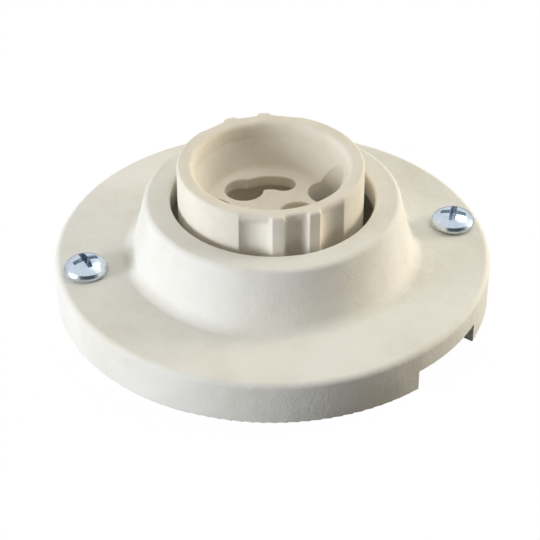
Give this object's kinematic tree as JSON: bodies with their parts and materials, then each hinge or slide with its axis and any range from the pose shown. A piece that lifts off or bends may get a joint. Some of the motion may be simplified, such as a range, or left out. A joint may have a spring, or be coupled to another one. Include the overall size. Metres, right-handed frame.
{
  "type": "ceramic lamp holder",
  "caption": "Round ceramic surface-mount lamp holder with a raised collar, a fluted socket for a twist-lock lamp, pan-head cover screws and a steel mounting strap.",
  "frame": {"origin": "centre of the underside, on the mounting surface", "axes": "+Z away from the mounting surface, along the lamp's axis; +X through the two cover screws"},
  "size_m": [0.065, 0.065, 0.0218],
  "materials": {
    "porcelain": "satin",
    "socket_ceramic": "matte",
    "contact_metal": "satin",
    "zinc_screw": "gloss",
    "strap_steel": "satin"
  },
  "bodies": {
    "root": {"cover": "porcelain", "socket_body": "socket_ceramic", "socket_plate": "socket_ceramic", "contact_front": "contact_metal", "contact_rear": "contact_metal", "socket_screw_left": "zinc_screw", "socket_screw_right": "zinc_screw", "cover_screw_left": "zinc_screw", "cover_screw_right": "zinc_screw", "strap": "strap_steel"}
  },
  "joints": []
}
